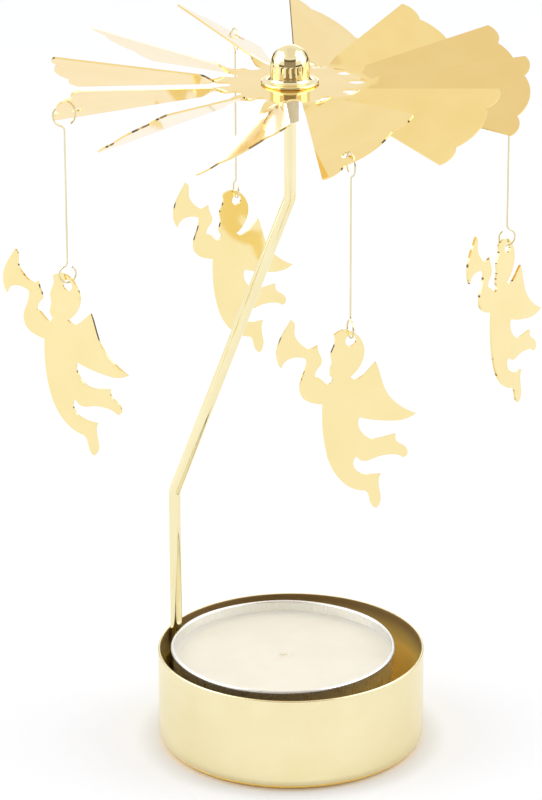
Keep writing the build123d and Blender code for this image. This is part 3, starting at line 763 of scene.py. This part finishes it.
lo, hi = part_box("wick")
wick_radius = (hi.x - lo.x) / 2
wick_profile = rounded(
    [(0, lo.z, 0), (wick_radius, lo.z, 0), (wick_radius, hi.z, 0.5 * wick_radius), (0, hi.z, 0)]
)
wick_rise = np.linspace(lo.z, wick_profile[-2, 1], 80)
wick_reach = np.interp(wick_rise, wick_profile[1:-1, 1], wick_profile[1:-1, 0])
wick_side = np.stack([wick_reach, wick_rise], axis=-1)
wick_line = np.vstack([wick_profile[:1], wick_side, wick_profile[-1:]])
wick_grid = turned(wick_line, candle, turns=BRAID_SIDES)
wick_angle = np.linspace(0, 2 * np.pi, BRAID_SIDES, endpoint=False)
strand = np.cos(BRAID_STRANDS * wick_angle - 2 * np.pi * wick_line[:, 1:] / BRAID_PITCH)
pinch = 1 - BRAID_DEPTH * (0.5 - 0.5 * strand)
wick_grid[..., :2] = candle + (wick_grid[..., :2] - candle) * pinch[..., None]
wick = put_turned("wick_braid", wick_grid, waxed_cotton())
stand_for(wick, "wick", "tealight")

# Wax: paraffin poured hot into the cup round the wick. It has set with a meniscus at the wall and
# round the wick, and with a faint ripple on its face.
WAX_MENISCUS = 0.4 * MM
WAX_WICK_REACH = 1.2 * MM
WAX_WICK_RADIUS = 1.0 * MM
WAX_GAP = 0.1 * MM
WAX_RIPPLE = 0.05 * MM


def paraffin():
    """White paraffin: light goes a few millimetres in, and the face is cloudy, with crystals about
    1 mm across and a slight gloss."""
    material, tree, place = new_material("paraffin wax")
    cloud = add_node(tree, "ShaderNodeTexNoise", {"Vector": place, "Scale": 1 / (6 * MM), "Detail": 3.0})
    crystal = add_node(tree, "ShaderNodeTexNoise", {"Vector": place, "Scale": 1 / MM, "Detail": 4.0})
    tone = add_node(
        tree,
        "ShaderNodeMix",
        {"Factor": (cloud, "Fac"), MIX_A: linear("#F4F0E4"), MIX_B: linear("#EAE4D2")},
        data_type="RGBA",
    )
    rough = add_node(
        tree, "ShaderNodeMapRange", {"Value": (crystal, "Fac"), "To Min": 0.35, "To Max": 0.55}
    )
    bump = add_node(
        tree, "ShaderNodeBump", {"Height": (crystal, "Fac"), "Strength": 0.25, "Distance": 0.05 * MM}
    )
    wax = add_node(
        tree,
        "ShaderNodeBsdfPrincipled",
        {
            "Base Color": (tone, MIX_RESULT),
            "Roughness": (rough, "Result"),
            "IOR": 1.44,
            "Subsurface Weight": 0.35,
            "Subsurface Radius": (3 * MM, 2.4 * MM, 1.6 * MM),
            "Subsurface Scale": 1.0,
            "Normal": (bump, "Normal"),
        },
    )
    add_node(tree, "ShaderNodeOutputMaterial", {"Surface": (wax, "BSDF")})
    return material


lo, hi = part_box("wax")
wax_radius = (hi.x - lo.x) / 2
wax_face = hi.z - WAX_MENISCUS
wax_profile = rounded(
    [
        (0, lo.z, 0),
        (foil_base_radius - FOIL - WAX_GAP, lo.z, FOIL_FOOT_RADIUS),
        (wax_radius, hi.z, 0),
        (wax_radius - 2 * WAX_MENISCUS, wax_face, 2 * WAX_MENISCUS),
        (wick_radius + WAX_WICK_REACH, wax_face, WAX_WICK_RADIUS),
        (wick_radius, wax_face + WAX_MENISCUS, 0),
    ]
)
wax_grid = turned(wax_profile, candle, turns=192)
wax_spoke = (wax_grid[..., :2] - candle) / wax_radius
ripple = np.cos(7 * wax_spoke[..., 0] + 2) * np.cos(6 * wax_spoke[..., 1] - 1) - 1
wax_grid[..., 2] += WAX_RIPPLE * ripple * (wax_grid[..., 2] > wax_face - 0.1 * MM)
wax = put_turned("wax_fill", wax_grid, paraffin())
stand_for(wax, "wax", "tealight")

# Studio: a white table top that fades into a white room, lit by a soft panel on each side. Metal
# mirrors more of the room: its bright back and windows, the shaded ceiling, a brown doorway in front,
# and the dark low sides and back corners, which draw the edges.
FLOOR_SIZE = 3.0
FLOOR_WHITE = "#E6E7EC"
FLOOR_GLOW = 0.16
FLOOR_FADE = (0.40, 0.75)
CONTACT_SHADOW = 5 * MM
ROOM_LIGHT = 0.80
ROOM_WHITE = "#FFFFFF"
CEILING_GREY = "#F5F1F0"
CORNER_BROWN = "#5A5144"
SIDE_BROWN = "#6A5E49"
DOORWAY_FOOT = "#A0968A"
DOORWAY_BROWN = "#6E6556"
BACK_GLOW = 1.8
WINDOW_GLOW = 1.2
CEILING = (("X", -0.28, -0.14), ("Z", 0.70, 0.90))
BACK_CORNERS = (("W", 0.22, 0.30), ("W", 0.72, 0.66), ("Y", 0.45, 0.60), ("Z", 0.25, 0.19))
LOW_SIDES = (("W", 0.40, 0.48), ("Z", 0.16, 0.06))
DOORWAY = (("Y", -0.2, -0.4), ("W", 0.60, 0.50), ("Z", 0.68, 0.60))
OVER_DOORWAY_FOOT = (("Z", 0.43, 0.49),)
LOW_BACK = (("Y", 0.80, 0.92), ("Z", 0.26, 0.06))
WINDOWS = (("W", 0.52, 0.60), ("Z", 0.42, 0.50), ("Z", 0.90, 0.80))
PANEL_WIDTH = 1.3
PANEL_HEIGHT = 0.8
PANEL_POWER = 4.2
PANEL_PLACES = {"left": (-0.85, -0.05, 0.52), "right": (0.85, 0.05, 0.58)}


def seen_by_eye(tree, ray):
    """1 for rays from the camera, in mirrors and through glass, and 0 for light on matt things."""
    seen = (ray, "Is Camera Ray")
    for kind in ("Is Glossy Ray", "Is Transmission Ray"):
        seen = (add_node(tree, "ShaderNodeMath", {0: seen, 1: (ray, kind)}, operation="MAXIMUM"), 0)
    return seen


floor_material, tree, place = new_material("white table top")
seen = seen_by_eye(tree, tree.nodes.new("ShaderNodeLightPath"))
away = add_node(tree, "ShaderNodeVectorMath", {0: place}, operation="LENGTH")
glow = add_node(tree, "ShaderNodeMath", {0: seen, 1: FLOOR_GLOW}, operation="MULTIPLY")
clear = add_node(
    tree,
    "ShaderNodeMapRange",
    {
        "Value": (away, "Value"),
        "From Min": cup_radius,
        "From Max": cup_radius + CONTACT_SHADOW,
        "To Max": (glow, 0),
    },
    interpolation_type="SMOOTHSTEP",
)
far = add_node(
    tree,
    "ShaderNodeMapRange",
    {"Value": (away, "Value"), "From Min": FLOOR_FADE[0], "From Max": FLOOR_FADE[1], "To Max": seen},
    interpolation_type="SMOOTHSTEP",
)
top = add_node(tree, "ShaderNodeBsdfDiffuse", {"Color": linear(FLOOR_WHITE)})
lift = add_node(tree, "ShaderNodeEmission", {"Strength": (clear, "Result")})
near = add_node(tree, "ShaderNodeAddShader", {0: (top, "BSDF"), 1: (lift, "Emission")})
white = add_node(tree, "ShaderNodeEmission", {"Strength": 1.0})
whole = add_node(
    tree, "ShaderNodeMixShader", {0: (far, "Result"), 1: (near, "Shader"), 2: (white, "Emission")}
)
add_node(tree, "ShaderNodeOutputMaterial", {"Surface": (whole, "Shader")})
floor_side = np.linspace(-FLOOR_SIZE / 2, FLOOR_SIZE / 2, 2)
floor_x, floor_y = np.meshgrid(floor_side, floor_side)
floor = put("table_top", np.stack([floor_x, floor_y, 0 * floor_x], axis=-1), quads(2, 2), floor_material)

room = bpy.data.worlds.new("white studio room")
bpy.context.scene.world = room
room.use_nodes = True
tree = room.node_tree
tree.nodes.clear()
ray = tree.nodes.new("ShaderNodeLightPath")
mirrored = (ray, "Is Glossy Ray")
way = add_node(tree, "ShaderNodeSeparateXYZ", {0: (tree.nodes.new("ShaderNodeTexCoord"), "Generated")})
wide = add_node(tree, "ShaderNodeMath", {0: (way, "X")}, operation="ABSOLUTE")
way_parts = {"X": (way, "X"), "Y": (way, "Y"), "Z": (way, "Z"), "W": (wide, 0)}


def zone(limits):
    """How far a direction lies within limits, each a part of the direction with a start and an end:
    the product of smooth steps from 0 at the start to 1 at the end. W is the size of X."""
    share = 1.0
    for part, start, end in limits:
        step = add_node(
            tree,
            "ShaderNodeMapRange",
            {"Value": way_parts[part], "From Min": start, "From Max": end},
            interpolation_type="SMOOTHSTEP",
        )
        share = (add_node(tree, "ShaderNodeMath", {0: share, 1: (step, 0)}, operation="MULTIPLY"), 0)
    return share


walls = linear(ROOM_WHITE)
for limits, colour in ((CEILING, CEILING_GREY), (BACK_CORNERS, CORNER_BROWN), (LOW_SIDES, SIDE_BROWN)):
    paint = {"Factor": zone(limits), MIX_A: walls, MIX_B: linear(colour)}
    walls = (add_node(tree, "ShaderNodeMix", paint, data_type="RGBA"), MIX_RESULT)
paint = {"Factor": zone(OVER_DOORWAY_FOOT), MIX_A: linear(DOORWAY_FOOT), MIX_B: linear(DOORWAY_BROWN)}
doorway = (add_node(tree, "ShaderNodeMix", paint, data_type="RGBA"), MIX_RESULT)
paint = {"Factor": zone(DOORWAY), MIX_A: walls, MIX_B: doorway}
walls = (add_node(tree, "ShaderNodeMix", paint, data_type="RGBA"), MIX_RESULT)
paint = {"Factor": mirrored, MIX_A: linear(ROOM_WHITE), MIX_B: walls}
colour = add_node(tree, "ShaderNodeMix", paint, data_type="RGBA")
glare = 0.0
for limits, gain in ((LOW_BACK, BACK_GLOW), (WINDOWS, WINDOW_GLOW)):
    added = {0: zone(limits), 1: gain, 2: glare}
    glare = (add_node(tree, "ShaderNodeMath", added, operation="MULTIPLY_ADD"), 0)
bright = add_node(tree, "ShaderNodeMath", {0: glare, 1: mirrored, 2: 1.0}, operation="MULTIPLY_ADD")
strength = add_node(
    tree,
    "ShaderNodeMapRange",
    {"Value": seen_by_eye(tree, ray), "To Min": ROOM_LIGHT, "To Max": (bright, 0)},
)
air = add_node(
    tree, "ShaderNodeBackground", {"Color": (colour, MIX_RESULT), "Strength": (strength, "Result")}
)
add_node(tree, "ShaderNodeOutputWorld", {"Surface": (air, "Background")})

for side, place in PANEL_PLACES.items():
    panel = bpy.data.lights.new(f"{side} soft panel", "AREA")
    panel.shape = "RECTANGLE"
    panel.size = PANEL_WIDTH
    panel.size_y = PANEL_HEIGHT
    panel.energy = PANEL_POWER
    lamp = bpy.data.objects.new(f"{side}_soft_panel", panel)
    lamp.location = place
    lamp.rotation_euler = (-lamp.location).to_track_quat("-Z", "Z").to_euler()
    bpy.context.scene.collection.objects.link(lamp)

# Camera: a long lens at the height and tilt that the photograph was taken from, fitted to the cup,
# the post and the fan.
CAMERA_PLACE = (-3.2 * MM, -605.5 * MM, 288.1 * MM)
CAMERA_TILT = np.radians(20.6)
CAMERA_ROLL = np.radians(-0.2)
CAMERA_LENS = 177.1
CAMERA_SENSOR = 36.0

lens = bpy.data.cameras.new("long lens")
lens.lens = CAMERA_LENS
lens.sensor_width = CAMERA_SENSOR
lens.clip_start = 0.01
camera = bpy.data.objects.new("camera", lens)
camera.location = CAMERA_PLACE
camera.rotation_mode = "ZYX"
camera.rotation_euler = (np.pi / 2 - CAMERA_TILT, 0, CAMERA_ROLL)
bpy.context.scene.collection.objects.link(camera)
bpy.context.scene.camera = camera
bpy.context.scene.view_settings.view_transform = "Standard"
